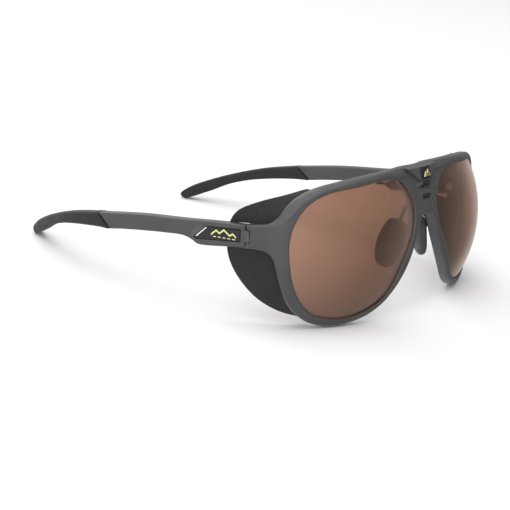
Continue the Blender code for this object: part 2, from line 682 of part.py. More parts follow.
def make_nose_pad(name, side):
    face = (PAD_FACE - PAD_UP * PAD_FACE.dot(PAD_UP)).normalized()
    wide = PAD_UP.cross(face)

    def bend(a, b, depth):
        dome = 0.9 * (1 - (2 * b / PAD_LENGTH) ** 2 - (2 * a / PAD_WIDTH) ** 2)
        out = PAD_MIDDLE + wide * a + PAD_UP * b + face * (dome - depth)
        return Vector((side * out.x, out.y, out.z))

    steps = 20
    outline = []
    for k in range(steps):
        angle = 2 * math.pi * k / steps
        bow = math.copysign(abs(math.cos(angle)) ** 0.8, math.cos(angle))
        outline.append(Vector((bow * PAD_WIDTH / 2, math.sin(angle) * PAD_LENGTH / 2)))
    pad = plate(name, outline, [], bend, rounded_edge(PAD_THICKNESS, 0.9, -PAD_THICKNESS / 2), grid=3.0)
    combine(pad, arm_tube("socket", side, GAP), "DIFFERENCE")
    return pad


# ---------------------------------------------------------------- assembly

def empty(name, parent=None, place=(0, 0, 0)):
    axes = bpy.data.objects.new(name, None)
    bpy.context.collection.objects.link(axes)
    axes.parent = parent
    axes.location = Vector(place) * MM
    return axes


def hang(piece, axes, place, finish):
    """Give a piece its material and hang it on its axes, with its origin there."""
    piece.data.transform(Matrix.Translation(-Vector(place) * MM))
    piece.parent = axes
    piece.data.materials.clear()
    piece.data.materials.append(finish)


def main():
    clear_scene()
    grey = material("frame_matte_grey", (0.105, 0.112, 0.118), 0.42)
    dark = material("shield_soft_black", (0.035, 0.035, 0.036), 0.7)
    rubber = material("rubber_black", (0.04, 0.041, 0.043), 0.62)
    lens = material("lens_copper_brown", (0.30, 0.16, 0.09), 0.08, transmission=0.6)
    steel = material("steel", (0.55, 0.55, 0.56), 0.3, metallic=1.0)
    brass = material("brass", (0.62, 0.47, 0.22), 0.32, metallic=1.0)
    gloss = material("inlay_gloss_black", (0.02, 0.02, 0.022), 0.2)

    axes = empty("glasses_axes", place=(0, FRONT_SETBACK, LENS_MIDDLE_HEIGHT))
    axes.rotation_euler = (-TILT, 0, 0)
    centre = (0, 0, 0)
    hang(make_front_frame(), axes, centre, grey)
    hang(make_badge(), axes, centre, gloss)
    hang(make_badge_peak(), axes, centre, brass)
    for word, side in SIDES.items():
        hang(make_lens(f"lens_{word}", side), axes, centre, lens)
        hang(make_side_shield(f"side_shield_{word}", side), axes, centre, dark)
        hang(stud_shape(f"shield_stud_{word}", side, 0.0), axes, centre, steel)
        hang(make_hinge_screw(f"hinge_screw_{word}", side), axes, centre, steel)
        hang(make_hinge_nut(f"hinge_nut_{word}", side), axes, centre, brass)

        root = (side * ARM_ROUTE[1][0], ARM_ROUTE[1][1], ARM_ROUTE[1][2])
        pad_axes = empty(f"nose_arm_axis_{word}", axes, root)
        hang(arm_tube(f"nose_arm_{word}", side), pad_axes, root, steel)
        hang(make_nose_pad(f"nose_pad_{word}", side), pad_axes, root, rubber)

        pivot = (side * HINGE_X, HINGE_Y, 0)
        fold_axes = empty(f"temple_axis_{word}", axes, pivot)
        hang(make_temple(f"temple_{word}", side), fold_axes, pivot, grey)
        hang(make_inlay(f"temple_inlay_{word}", side), fold_axes, pivot, gloss)
        hang(core_tube(f"temple_core_{word}", side), fold_axes, pivot, steel)
        hang(make_tip(f"temple_tip_{word}", side), fold_axes, pivot, rubber)


main()
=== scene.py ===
"""Glacier glasses: fine meshes, procedural materials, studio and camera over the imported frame."""
import math

import bmesh
import bpy
import numpy as np
from mathutils import Matrix, Vector
from mathutils.geometry import delaunay_2d_cdt
from mathutils.kdtree import KDTree


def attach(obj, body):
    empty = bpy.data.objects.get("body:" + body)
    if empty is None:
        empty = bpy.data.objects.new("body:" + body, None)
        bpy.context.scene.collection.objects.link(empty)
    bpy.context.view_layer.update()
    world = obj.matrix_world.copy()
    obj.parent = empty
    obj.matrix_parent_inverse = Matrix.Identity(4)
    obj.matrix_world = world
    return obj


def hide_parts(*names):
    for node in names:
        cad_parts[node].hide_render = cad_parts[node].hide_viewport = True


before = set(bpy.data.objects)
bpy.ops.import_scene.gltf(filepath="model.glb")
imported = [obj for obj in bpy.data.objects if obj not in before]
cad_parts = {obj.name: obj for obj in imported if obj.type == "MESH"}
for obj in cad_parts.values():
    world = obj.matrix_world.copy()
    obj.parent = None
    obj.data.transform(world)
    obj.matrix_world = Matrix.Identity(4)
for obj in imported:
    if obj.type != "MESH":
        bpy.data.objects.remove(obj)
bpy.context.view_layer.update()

MM = 0.001
GAP = 0.3                      # clearance between neighbouring pieces
SIDES = {"right": -1, "left": 1}

# Rest position of the whole pair on a table
TILT = math.radians(6.3)       # the top of the front leans back
LENS_MIDDLE_HEIGHT = 29.33
FRONT_SETBACK = -75.51          # brings the middle of the box over the origin

# Plan curve of the front, seen from above, by arc length s from the bridge
LENS_RADIUS = 72.0
BRIDGE_HALF = 9.0
NASAL_HEADING = math.radians(-6)
OUTER_HEADING = math.radians(41)
CORNER_RADIUS = 12.0
BRIDGE_DEPTH = 0.5
BRIDGE_BULGE = 1.5
BRIDGE_BULGE_HALF = 8.5
LENS_ARC_END = BRIDGE_HALF + LENS_RADIUS * (OUTER_HEADING - NASAL_HEADING)
CORNER_END = LENS_ARC_END + CORNER_RADIUS * (math.pi / 2 - OUTER_HEADING)

# Front moulding and lenses
FRONT_THICKNESS = 4.4
END_PIECE_LENGTH = 6.3         # straight run behind the corner, up to the joint line
GROOVE_DEPTH = 0.9
LENS_FRONT = 1.0               # depth of the lens edge behind the front face
LENS_THICKNESS = 2.0
LENS_DOME = 2.3                # rise of the middle of the lens over its edge
LENS_MIDDLE = Vector((38.5, -1.5))
OUTLINE_STEP = 0.8
PANEL_GRID = 0.95
LENS_OPENING = [
    (67.5, 1.0), (65.8, 10.0), (60.0, 16.9), (51.0, 20.4), (38.0, 21.5), (25.0, 22.4), (13.5, 19.9),
    (7.9, 12.0), (9.0, 2.5), (16.0, -9.0), (23.2, -19.4), (34.0, -24.2), (46.0, -25.1),
    (58.0, -21.8), (65.0, -12.5),
]
BROW_EDGE = [
    (12.0, 25.0), (24.0, 24.9), (36.0, 24.3), (46.0, 23.5), (56.0, 22.0), (63.5, 19.3),
    (68.5, 15.9), (72.5, 12.6), (76.5, 10.7), (80.5, 10.0),
]
LOWER_EDGE = [
    (79.0, 1.4), (75.6, 0.9), (73.4, -1.4), (72.2, -5.5), (71.0, -10.0), (68.6, -15.7),
    (64.3, -21.4), (57.6, -25.8), (49.0, -27.8), (40.0, -27.6), (31.0, -25.8), (23.2, -22.0),
    (17.0, -16.4), (11.8, -9.8), (8.1, -3.4), (5.6, 2.6), (3.6, 6.4),
]
END_PIECE_TOP = 9.7
END_PIECE_BOTTOM = 1.5
ARCH_TOP = 8.0
VENT_SLOTS = [(9.8, 1.9, 17.9), (5.8, 1.9, 13.7)]      # width, height, middle height
PLATE_OUTLINE = [(9.6, 24.8), (3.9, 19.9), (-3.9, 19.9), (-9.6, 24.8)]
PLATE_RISE = 1.2
BADGE_WIDTH = 6.4
BADGE_HEIGHT = 3.6
BADGE_MIDDLE = 22.4
BADGE_THICKNESS = 0.9
PEAK_WIDTH, PEAK_HEIGHT = 4.6, 2.5

# Hinge: ears on the front, a tongue on the temple, a screw through both
HINGE_X = 64.6
HINGE_Y = 31.2
KNUCKLE_RADIUS = 2.3
TONGUE_LOW, TONGUE_HIGH = 3.65, 7.65
JOINT_Y = 32.65
TONGUE_FRONT = 31.1
SCREW_RADIUS = 0.65
SCREW_HEAD_RADIUS = 1.2
SCREW_HEAD_HEIGHT = 0.7
NUT_RADIUS = 1.25
NUT_HEIGHT = 0.8
EAR_INSET = 0.1                # the ears stop short of the end piece's top and bottom
EAR_OVERLAP = 0.4              # how far an ear reaches into the slot before the slot is cut
OVERRUN = 0.03                 # joined or cut solids pass each other, so that no faces are coplanar
HINGE_CUT_TOP = 12             # above the whole hinge

# Temples, by y along the temple and v up
OUTER_FACE = 67.9
TEMPLE_THICKNESS = 4.4
TEMPLE_MIDDLE = [(32.0, 65.7), (50.0, 65.7), (60.0, 65.7), (80.0, 65.1), (98.0, 64.2), (112.0, 62.2),
                 (125.0, 58.9), (140.0, 52.9), (154.0, 46.2)]
TEMPLE_TOP = [(60.0, 8.2), (80.0, 7.2), (92.0, 6.1), (102.4, 4.9)]
TEMPLE_LOW = [(96.3, -0.35), (90.0, 0.3), (80.0, 1.2), (70.0, 1.9), (61.0, 2.2)]
TEMPLE_STEP = [(57.0, 1.3), (53.6, -0.1), (40.0, 0.9)]
TIP_TOP = [(112.3, 3.75), (122.3, 1.95), (135.4, -1.5), (147.7, -6.1)]
TIP_LOW = [(142.6, -9.1), (135.0, -5.7), (125.8, -3.2), (117.2, -1.9), (107.4, -1.0)]
TIP_END = [(153.0, -9.3), (153.9, -10.7), (153.0, -12.3), (151.6, -12.7)]
TIP_EXTRA = 0.7                # the soft tip stands proud of the temple on each face
CORE_RADIUS = 0.7
CORE_ROUTE = [(73.0, 4.6), (84.0, 4.0), (98.0, 2.5), (112.0, 1.2), (125.0, -1.0), (136.0, -3.8),
              (146.0, -7.4)]
INLAY_OUTLINE = [(34.9, 7.7), (49.8, 6.9), (55.2, 2.6), (54.4, 2.2), (34.9, 3.6)]
INLAY_THICKNESS = 0.5

# Side shields: a rib runs from each point on the rim's back (s, v) to the rear edge (x, y, v)
SHIELD_RIBS = [
    ((54.0, 21.1), (49.5, 20.0, 21.4)), ((61.0, 18.2), (57.6, 24.6, 19.6)),
    ((65.7, 14.2), (62.8, 32.0, 16.9)), ((68.4, 9.6), (65.0, 38.6, 13.4)),
    ((69.6, 4.5), (65.3, 42.0, 8.0)), ((69.7, -1.5), (65.2, 42.8, 0.0)),
    ((69.0, -7.0), (65.0, 41.0, -6.0)), ((67.0, -12.7), (64.0, 36.8, -12.3)),
    ((63.6, -18.2), (61.6, 31.6, -17.9)), ((58.6, -22.5), (57.0, 26.0, -22.2)),
    ((53.5, -25.2), (49.0, 20.6, -25.3)),
]
SHIELD_THICKNESS = 1.2
SHIELD_BULGE = 0.01
NOTCH_OUTLINE = [
    (26.9, 0.4), (60.0, 0.4), (60.0, 8.6), (44.0, 9.27), (38.0, 9.46), (33.0, 9.62), (26.9, 9.64),
]
NOTCH_DEPTH = 16.0             # how far the cut reaches to each side of the temple
NOTCH_GRID = 20.0              # coarse enough that the cut's flat faces need no inner points

# Nose pads on bendable wire arms
PAD_MIDDLE = Vector((10.4, 9.7, -3.3))
PAD_UP = Vector((-6.5, -3.0, 17.0)).normalized()
PAD_FACE = Vector((-0.85, 0.5, 0.0))
PAD_LENGTH, PAD_WIDTH, PAD_THICKNESS = 18.0, 10.0, 2.6
PAD_DOME = 0.9
PAD_FULLNESS_TOP, PAD_FULLNESS_LOW = 0.55, 0.8         # exponents: a smaller one is squarer
ARM_RADIUS = 0.6
ARM_ROUTE = [(5.0, 3.6, 10.4), (5.1, 6.4, 10.2), (7.9, 7.0, 6.6), (10.4, 6.9, 3.2), (12.0, 7.7, 0.4),
             (11.8, 8.6, -1.6), (10.7, 9.1, -2.4)]

# Printed marks on the inlays, in the temple's (y, v) plane
RIDGE_MARK = [(47.6, 4.75), (45.3, 6.5), (43.9, 5.55), (41.9, 7.0), (39.4, 5.3), (38.0, 6.1), (36.6, 5.0)]
RIDGE_MARK_HEIGHT = 0.62
DASHES = 5
DASH_START, DASH_STEP, DASH_LENGTH = 46.6, 2.1, 1.2
DASH_LOW, DASH_HIGH = 3.75, 4.05
STRIPE_OUTLINE = [(54.6, 3.0), (49.9, 6.75), (49.3, 6.75), (53.9, 3.0)]

# Meshing
CREASE_ANGLE = math.radians(32)
ROW_PITCH = 0.87               # of the grid, for rows of even triangles
ROWS_PER_STEP = 1.15
EDGE_CLEARANCE = 0.6           # of the grid, between an inner point and an outline

# Studio and camera, in metres
LAMPS = [                      # name, place, size, power in watts
    ("top", (-0.1, -0.1, 1.2), 1.4, 9.0),
    ("key", (-1.1, -0.7, 0.7), 0.8, 4.0),
    ("back", (0.5, 1.2, 0.9), 1.0, 4.0),
]
LAMP_TARGET = Vector((0, -0.03, 0.02))
CAMERA_PLACE = (-0.49546, -0.35046, 0.18396)
CAMERA_TURN = (54.67, -16.77, 5.81)                    # yaw, pitch and roll in degrees
CAMERA_LENS = 112.43
CAMERA_SENSOR = 36


def smooth(points, step, closed=False):
    """Points about `step` apart on a smooth curve through `points` (flat or in space)."""
    knots = [Vector(p) for p in points]
    count = len(knots)
    if not closed:
        knots = [knots[0] * 2 - knots[1]] + knots + [knots[-1] * 2 - knots[-2]]
    spans = range(count) if closed else range(1, count)
    curve = []
    for i in spans:
        before, here, there, after = (knots[(i + k) % len(knots)] for k in (-1, 0, 1, 2))
        length = (there - here).length
        away = (there - before) * (length / ((here - before).length + length))
        home = (after - here) * (length / (length + (after - there).length))
        pieces = max(1, round(length / step))
        for n in range(pieces):
            t = n / pieces
            curve.append(here * (2 * t ** 3 - 3 * t ** 2 + 1) + away * (t ** 3 - 2 * t ** 2 + t)
                         + there * (3 * t ** 2 - 2 * t ** 3) + home * (t ** 3 - t ** 2))
    if not closed:
        curve.append(knots[-2].copy())
    return curve


def rounded_box(width, height, middle, radius, steps=2):
    """A rectangle with round corners, counter-clockwise."""
    loop = []
    for turn, (a, b) in enumerate(((1, 1), (-1, 1), (-1, -1), (1, -1))):
        for n in range(steps + 1):
            angle = math.radians(90 * (turn + n / steps))
            loop.append(Vector((a * (width / 2 - radius) + radius * math.cos(angle),
                                middle + b * (height / 2 - radius) + radius * math.sin(angle))))
    return loop


def signed_area(loop):
    return sum(a.x * b.y - b.x * a.y for a, b in zip(loop, loop[1:] + loop[:1])) / 2


def inset(loop, amounts):
    """The loop moved to its left: inwards when it runs counter-clockwise."""
    if not isinstance(amounts, list):
        amounts = [amounts] * len(loop)
    moved = []
    for before, here, after, amount in zip(loop[-1:] + loop[:-1], loop, loop[1:] + loop[:1], amounts):
        one = (here - before).normalized()
        two = (after - here).normalized()
        left = Vector((-one.y - two.y, one.x + two.x))
        left.normalize()
        lean = max(0.5, left.dot(Vector((-one.y, one.x))))
        moved.append(here + left * (amount / lean))
    return moved


PLACE = Matrix.Translation((0, FRONT_SETBACK * MM, LENS_MIDDLE_HEIGHT * MM)) @ Matrix.Rotation(-TILT, 4, "X")


# ---------------------------------------------------------------- solids

def finish_mesh(name, bm):
    """Close off a bmesh in millimetres as an object in metres, smooth with crisp edges."""
    bmesh.ops.recalc_face_normals(bm, faces=bm.faces)
    if bm.calc_volume(signed=True) < 0:
        bmesh.ops.reverse_faces(bm, faces=bm.faces)
    bmesh.ops.transform(bm, matrix=PLACE @ Matrix.Scale(MM, 4), verts=bm.verts)
    mesh = bpy.data.meshes.new(name)
    bm.to_mesh(mesh)
    bm.free()
    mesh.shade_smooth()
    mesh.set_sharp_from_angle(angle=CREASE_ANGLE)
    thing = bpy.data.objects.new(name, mesh)
    bpy.context.scene.collection.objects.link(thing)
    return thing


def inside_all(points, loop):
    """Which of an array of points lie inside a loop."""
    x, y = points[:, 0], points[:, 1]
    odd = np.zeros(len(points), bool)
    for a, b in zip(loop, loop[1:] + loop[:1]):
        if a.y != b.y:
            spans = (a.y > y) != (b.y > y)
            odd ^= spans & (x < a.x + (y - a.y) * (b.x - a.x) / (b.y - a.y))
    return odd


def cap(bm, rings, loops, depth, bend, grid):
    """Fill one face of a plate between its outer ring and its holes with even triangles."""
    flat = [p for loop in loops for p in loop]
    verts = [v for ring in rings for v in ring]
    edges = []
    start = 0
    for loop in loops:
        size = len(loop)
        edges += [(start + n, start + (n + 1) % size) for n in range(size)]
        start += size
    edge_tree = KDTree(start)
    for n, p in enumerate(flat):
        edge_tree.insert((p.x, p.y, 0), n)
    edge_tree.balance()
    xs = np.arange(math.floor(min(p.x for p in loops[0]) / grid), max(p.x for p in loops[0]) / grid + 1)
    ys = np.arange(math.floor(min(p.y for p in loops[0]) / grid), max(p.y for p in loops[0]) / grid + 1)
    rows = ys * ROWS_PER_STEP // 1
    spots = np.array([((i + 0.5 * (j % 2)) * grid, j * grid * ROW_PITCH) for j in rows for i in xs])
    keep = inside_all(spots, loops[0])
    for hole in loops[1:]:
        keep &= ~inside_all(spots, hole)
    for x, y in spots[keep]:
        if edge_tree.find((x, y, 0))[2] > EDGE_CLEARANCE * grid:
            flat.append(Vector((x, y)))
            verts.append(bm.verts.new(bend(x, y, depth)))
    spots, _, faces, sources, _, _ = delaunay_2d_cdt(flat, edges, [], 1, 1e-5)
    centres = np.array([sum((spots[n] for n in face), Vector((0, 0))) / 3 for face in faces])
    filled = np.ones(len(faces), bool)
    for hole in loops[1:]:
        filled &= ~inside_all(centres, hole)
    for face, wanted in zip(faces, filled):
        if wanted:
            bm.faces.new([verts[sources[n][0]] for n in face])


def plate(name, outer, holes, bend, profiles, grid):
    """A plate with holes. A profile lists (inset, depth) from the front to the back of an edge, or is
    a function that gives such a list for a point of the outline. An outer outline that is a function
    gives its own loop, counter-clockwise, for an inset."""
    bm = bmesh.new()
    shape = outer if callable(outer) else None
    outer = shape(0) if shape else outer
    loops = [outer if signed_area(outer) > 0 else outer[::-1]]
    loops += [h if signed_area(h) < 0 else h[::-1] for h in holes]
    ends = []
    for loop, profile in zip(loops, profiles):
        steps = [profile(p) if callable(profile) else profile for p in loop]
        rings = []
        for k in range(len(steps[0])):
            own = shape and loop is loops[0]
            flat = shape(steps[0][k][0]) if own else inset(loop, [s[k][0] for s in steps])
            rings.append((flat, [bm.verts.new(bend(p.x, p.y, s[k][1])) for p, s in zip(flat, steps)],
                          steps[0][k][1]))
        for (_, one, _), (_, two, _) in zip(rings, rings[1:]):
            for n in range(len(loop)):
                m = (n + 1) % len(loop)
                bm.faces.new((one[n], one[m], two[m], two[n]))
        ends.append((rings[0], rings[-1]))
    for side in (0, 1):
        chosen = [pair[side] for pair in ends]
        cap(bm, [c[1] for c in chosen], [c[0] for c in chosen], chosen[0][2], bend, grid)
    return finish_mesh(name, bm)


def rounded_edge(thickness, radius, start=0.0, steps=5):
    """Edge profile with a quarter round at the front and at the back."""
    turns = [math.pi / 2 * n / steps for n in range(steps + 1)]
    corner = [(radius * (1 - math.sin(a)), radius * (1 - math.cos(a))) for a in turns]
    front = [(i, start + d) for i, d in corner]
    back = [(i, start + thickness - d) for i, d in reversed(corner)]
    return front + back


def tube(name, route, radius, sides=20, extend=0.0):
    """A round bar along a route in space, closed by flat ends and longer by `extend` at each."""
    bm = bmesh.new()
    first = route[0] + (route[0] - route[1]).normalized() * extend
    last = route[-1] + (route[-1] - route[-2]).normalized() * extend
    route = [first] + route[1:-1] + [last]
    rings = []
    across = Vector((1, 0, 0))
    for n, point in enumerate(route):
        ahead = (route[min(n + 1, len(route) - 1)] - route[max(n - 1, 0)]).normalized()
        across = (across - ahead * across.dot(ahead)).normalized()
        other = ahead.cross(across)
        turns = [2 * math.pi * k / sides for k in range(sides)]
        rings.append([bm.verts.new(point + across * radius * math.cos(a) + other * radius * math.sin(a))
                      for a in turns])
    bridge(bm, rings)
    return finish_mesh(name, bm)


def bridge(bm, rings):
    """Join a row of closed rings and close both ends."""
    for one, two in zip(rings, rings[1:]):
        for n in range(len(one)):
            m = (n + 1) % len(one)
            bm.faces.new((one[n], one[m], two[m], two[n]))
    bm.faces.new(rings[0])
    bm.faces.new(rings[-1])


def turned(name, profile, base, axis, sides=48):
    """A solid of revolution: profile (radius, height) pairs from the low end to the high end."""
    bm = bmesh.new()
    turn = Vector((0, 0, 1)).rotation_difference(Vector(axis)).to_matrix()
    rings = []
    for radius, height in profile:
        turns = [2 * math.pi * k / sides for k in range(sides)]
        rings.append([bm.verts.new(Vector(base) + turn @ Vector((radius * math.cos(a), radius * math.sin(a),
                                                                 height))) for a in turns])
    bridge(bm, rings)
    return finish_mesh(name, bm)


def box(name, low, high):
    bm = bmesh.new()
    bmesh.ops.create_cube(bm, size=1.0)
    bmesh.ops.scale(bm, vec=Vector(high) - Vector(low), verts=bm.verts)
    bmesh.ops.translate(bm, vec=(Vector(high) + Vector(low)) / 2, verts=bm.verts)
    return finish_mesh(name, bm)


def combine(target, tool, operation):
    """Join or cut with another solid, keep the result and drop the tool."""
    step = target.modifiers.new(operation.lower(), "BOOLEAN")
    step.operation = operation
    step.solver = "EXACT"
    step.object = tool
    bpy.context.view_layer.update()
    result = bpy.data.meshes.new_from_object(target.evaluated_get(bpy.context.evaluated_depsgraph_get()))
    target.modifiers.clear()
    target.data = result
    bpy.data.objects.remove(tool, do_unlink=True)
    target.data.shade_smooth()
    target.data.set_sharp_from_angle(angle=CREASE_ANGLE)


# ---------------------------------------------------------------- shape of the front

def plan_point(s):
    """Place and heading of the plan curve at arc length s >= 0."""
    if s <= BRIDGE_HALF:
        heading = NASAL_HEADING * s / BRIDGE_HALF
        return s, BRIDGE_DEPTH + NASAL_HEADING * s * s / (2 * BRIDGE_HALF), heading
    x = BRIDGE_HALF
    y = BRIDGE_DEPTH + NASAL_HEADING * BRIDGE_HALF / 2
    run = min(s, LENS_ARC_END) - BRIDGE_HALF
    heading = NASAL_HEADING + run / LENS_RADIUS
    x += LENS_RADIUS * (math.sin(heading) - math.sin(NASAL_HEADING))
    y += LENS_RADIUS * (math.cos(NASAL_HEADING) - math.cos(heading))
    if s > LENS_ARC_END:
        run = min(s, CORNER_END) - LENS_ARC_END
        turned_to = heading + run / CORNER_RADIUS
        x += CORNER_RADIUS * (math.sin(turned_to) - math.sin(heading))
        y += CORNER_RADIUS * (math.cos(heading) - math.cos(turned_to))
        heading = turned_to
    if s > CORNER_END:
        y += s - CORNER_END
    return x, y, heading


def on_front(s, v, depth):
    """A point `depth` behind the front face, s along the plan curve and v up."""
    x, y, heading = plan_point(abs(s))
    sag = LENS_RADIUS - math.sqrt(LENS_RADIUS ** 2 - v * v)
    if abs(s) < BRIDGE_BULGE_HALF:
        depth -= BRIDGE_BULGE * math.cos(math.pi * s / (2 * BRIDGE_BULGE_HALF)) ** 2
    back = depth + sag
    return Vector((math.copysign(x - math.sin(heading) * back, s), y + math.cos(heading) * back, v))


OPENING_CURVE = smooth(LENS_OPENING, OUTLINE_STEP, closed=True)


def mirrored(loop):
    return [Vector((-p.x, p.y)) for p in loop]


def lens_opening(side):
    return OPENING_CURVE if side > 0 else mirrored(OPENING_CURVE)


def front_outline():
    """The whole outer edge, counter-clockwise from the left end piece over the brow."""
    end = CORNER_END + END_PIECE_LENGTH
    top = [(end, END_PIECE_TOP)] + BROW_EDGE[::-1]
    brow = smooth(top + [(-x, v) for x, v in top[::-1]], OUTLINE_STEP)
    low = LOWER_EDGE[::-1]
    under = smooth([(-x, v) for x, v in [(end, END_PIECE_BOTTOM)] + LOWER_EDGE] + [(0, ARCH_TOP)]
                   + low + [(end, END_PIECE_BOTTOM)], OUTLINE_STEP)
    return brow + under


def ramp(low, high, value):
    """0 below low, 1 above high and an eased rise between."""
    t = min(1.0, max(0.0, (value - low) / (high - low)))
    return t * t * (3 - 2 * t)


def between(knots, at):
    """Straight-line reading of a row of (place, value) knots."""
    for (a, one), (b, two) in zip(knots, knots[1:]):
        if at <= b:
            return one + (two - one) * max(0.0, at - a) / (b - a)
    return knots[-1][1]


# The brow's chamfer: its width along the arc. Its lower edge is the ridge that catches the light.
RIDGE_WIDTH = [(0.0, 2.5), (16.0, 2.5), (21.0, 1.2), (50.0, 1.15), (56.0, 1.4), (60.0, 1.7), (64.0, 2.1),
               (68.5, 2.8), (72.0, 2.1), (74.5, 1.3), (78.0, 0.9)]
GROOVE_RECESS = 0.34
GROOVE_END = (15.0, 21.0)


def front_relief(s, v, depth):
    """The front face sits lower under the brow band, beside the raised plate."""
    line = 25.0 - between(RIDGE_WIDTH, abs(s)) - 0.05
    drop = GROOVE_RECESS * (1 - ramp(*GROOVE_END, abs(s)))
    drop *= ramp(0.08, 0.3, line - v) * (1 - ramp(1.5, 7.0, line - v))
    return on_front(s, v, depth + drop * max(0.0, 1 - depth / 0.8))


def outer_profile(point):
    """Edge of the front moulding: a chamfer along the brow and a plain round elsewhere."""
    s = abs(point.x)
    back = FRONT_THICKNESS
    width = between(RIDGE_WIDTH, s)
    share = (1 - ramp(74, 79, s)) if point.y > 9.0 else 0.0
    r = 1.0 - 0.65 * ramp(81, 84, s)
    slope = 0.42 + 0.3 * ramp(30, 60, s)
    step = 0.35 - 0.25 * ramp(*GROOVE_END, s)
    plain = [(1.2 * r, 0), (0.97 * r, 0), (0.62 * r, 0.07 * r), (0.3 * r, 0.29 * r), (0.08 * r, 0.6 * r),
             (0, r)]
    cut = [(width + step, 0), (width + 0.03, 0), (width - 0.12, 0.02), (width * 0.55, slope * width * 0.42),
           (0.25, slope * (width - 0.2)), (0, slope * width + 0.3)]
    front = [(a + (c - a) * share, b + (d - b) * share) for (a, b), (c, d) in zip(plain, cut)]
    q = 0.8 - 0.5 * ramp(81, 84, s)
    rear = [(q * (1 - math.sin(a)), back - q * (1 - math.cos(a))) for a in (1.57, 1.18, 0.79, 0.39, 0.0)]
    return front + rear


# ---------------------------------------------------------------- pieces of the front

def make_front_frame():
    back = FRONT_THICKNESS
    groove_front = LENS_FRONT - GAP
    groove_back = LENS_FRONT + LENS_THICKNESS + GAP
    lens_edge = [(0.62, 0.0), (0.45, 0.02), (0.24, 0.13), (0.08, 0.34), (0.0, 0.62), (0.0, groove_front),
                 (GROOVE_DEPTH, groove_front), (GROOVE_DEPTH, groove_back), (0.2, groove_back),
                 (0.2, back - 0.4), (0.6, back)]
    slot_edge = [(0.4, 0.0), (0.12, 0.1), (0.0, 0.4), (0.0, back)]
    slots = [rounded_box(w, h, m, 0.5, 5) for w, h, m in VENT_SLOTS]
    openings = [lens_opening(1), lens_opening(-1)]
    thing = plate("front_moulding", front_outline(), openings + slots, front_relief,
                  [outer_profile] + [lens_edge] * 2 + [slot_edge] * 2, PANEL_GRID)
    edge = [(0.6, -PLATE_RISE), (0.5, -PLATE_RISE + 0.03), (0.38, -PLATE_RISE + 0.14), (0.0, -0.15),
            (0.0, 1.2)]
    combine(thing, plate("raised_plate", eased(PLATE_OUTLINE, 0.8), [], on_front, [edge], 0.9), "UNION")
    pocket = rounded_box(BADGE_WIDTH + 2 * GAP, BADGE_HEIGHT + 2 * GAP, BADGE_MIDDLE, 0.9, 6)
    combine(thing, plate("pocket", pocket, [], on_front, [[(0, -PLATE_RISE - 1), (0, 0.0)]], 0.9),
            "DIFFERENCE")
    for side in SIDES.values():
        add_hinge_ears(thing, side)
        combine(thing, arm_tube("arm_socket", side, GAP), "DIFFERENCE")
    return thing


def eased(points, ease, runs=10):
    """A polygon as a function of its inset: counter-clockwise, each corner a short round."""
    corners = [Vector(p) for p in points]
    corners = corners if signed_area(corners) > 0 else corners[::-1]

    def shape(amount):
        loop = []
        moved = inset(corners, amount)
        for before, here, after in zip(moved[-1:] + moved[:-1], moved, moved[1:] + moved[:1]):
            one = here + (before - here).normalized() * ease
            two = here + (after - here).normalized() * ease
            loop += [one.lerp(here, t).lerp(here.lerp(two, t), t) for t in (0, 0.2, 0.4, 0.6, 0.8, 1)]
            last = after + (here - after).normalized() * ease
            loop += [two.lerp(last, n / runs) for n in range(1, runs)]
        return loop

    return shape


def dense(loop, step):
    """The loop with extra points on its long straight runs."""
    out = []
    for a, b in zip(loop, loop[1:] + loop[:1]):
        count = max(1, round((b - a).length / step))
        out += [a.lerp(b, n / count) for n in range(count)]
    return out


def hinge_disc(name, side, radius, low, high):
    return turned(name, [(radius, low), (radius, high)], (side * HINGE_X, HINGE_Y, 0), (0, 0, 1))


def add_hinge_ears(thing, side):
    slot_low, slot_high = TONGUE_LOW - GAP, TONGUE_HIGH + GAP
    for low, high in ((END_PIECE_BOTTOM + EAR_INSET, slot_low + EAR_OVERLAP),
                      (slot_high - EAR_OVERLAP, END_PIECE_TOP - EAR_INSET)):
        combine(thing, hinge_disc("ear", side, KNUCKLE_RADIUS, low, high), "UNION")
    inner, outer = sorted((side * 55, side * 75))
    combine(thing, box("slot", (inner, TONGUE_FRONT - GAP, slot_low), (outer, 40, slot_high)), "DIFFERENCE")
    sweep = hinge_disc("sweep", side, KNUCKLE_RADIUS + GAP, slot_low - OVERRUN, slot_high + OVERRUN)
    combine(thing, sweep, "DIFFERENCE")
    head_seat = END_PIECE_TOP - EAR_INSET - SCREW_HEAD_HEIGHT - GAP
    combine(thing, hinge_disc("hole", side, SCREW_RADIUS + GAP, 0, HINGE_CUT_TOP), "DIFFERENCE")
    combine(thing, hinge_disc("head_seat", side, SCREW_HEAD_RADIUS + GAP, head_seat, HINGE_CUT_TOP),
            "DIFFERENCE")
    nut_seat = END_PIECE_BOTTOM + EAR_INSET + NUT_HEIGHT + GAP
    combine(thing, hinge_disc("nut_seat", side, NUT_RADIUS + GAP, 0, nut_seat), "DIFFERENCE")


def lens_reach(s, v):
    """Share of the way from the middle of the lens to the edge of its opening."""
    way = Vector((abs(s), v)) - LENS_MIDDLE
    loop = OPENING_CURVE
    for a, b in zip(loop, loop[1:] + loop[:1]):
        one, two = a - LENS_MIDDLE, b - LENS_MIDDLE
        if one.cross(way) >= 0 > two.cross(way):
            return way.cross(two - one) / one.cross(two - one)
    return 0.0


def on_lens(s, v, depth):
    """A point of the lens, domed over the front's curve and flush with it at the edge."""
    return on_front(s, v, depth - LENS_DOME * max(0.0, 1 - lens_reach(s, v) ** 2))


def make_lens(name, side):
    outline = inset(lens_opening(side), (GAP - GROOVE_DEPTH) * side)
    return plate(name, outline, [], on_lens, [rounded_edge(LENS_THICKNESS, 0.25, LENS_FRONT, 3)], 1.2)


